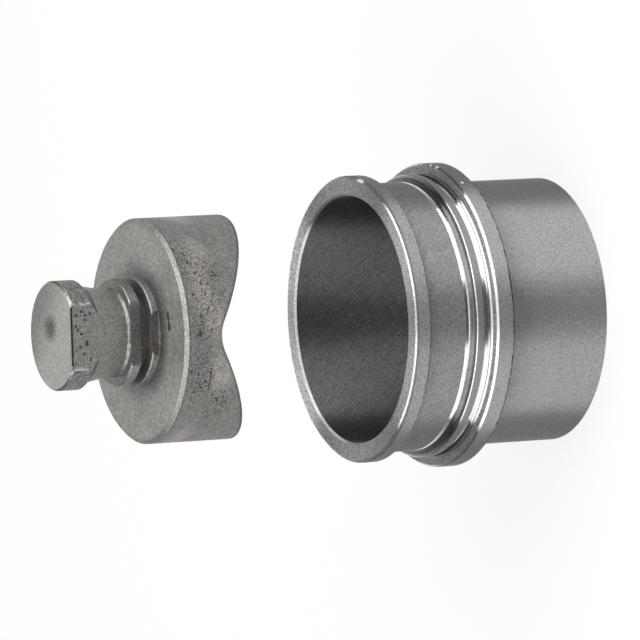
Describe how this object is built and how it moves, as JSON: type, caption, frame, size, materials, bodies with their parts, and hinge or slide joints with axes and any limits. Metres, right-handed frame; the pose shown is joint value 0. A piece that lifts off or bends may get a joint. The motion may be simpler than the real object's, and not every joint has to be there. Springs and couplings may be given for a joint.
{
  "type": "knockout punch and die",
  "caption": "Saddle-faced knockout punch on a headed shank, drawn up on one axis above its open, flanged die sleeve with a cutting ring inside.",
  "frame": {"origin": "centre of the die sleeve's back end, on the surface that it stands on", "axes": "+Z along the common axis of the sleeve and the punch, towards the shank's head; the saddle's valley runs along Y, turned 4.6 degrees, and its horns stand at +X and -X; the shank's flat faces -Y, turned 3 degrees"},
  "size_m": [0.0745, 0.0744, 0.1331],
  "materials": {
    "sleeve_steel": "satin turned, polished at the step and groove, dark turned bore",
    "ring_steel": "ground",
    "punch_steel": "matt, worn and pitted",
    "shank_steel": "matt, worn and pitted"
  },
  "bodies": {
    "die": {"die_sleeve": "sleeve_steel", "cutting_ring": "ring_steel"},
    "punch": {"punch_body": "punch_steel", "punch_shank": "shank_steel"}
  },
  "joints": [
    {"name": "punch_stroke", "type": "slide", "parent": "die", "child": "punch", "axis": [0, 0, 1], "range_m": [-0.0872, 0]}
  ]
}
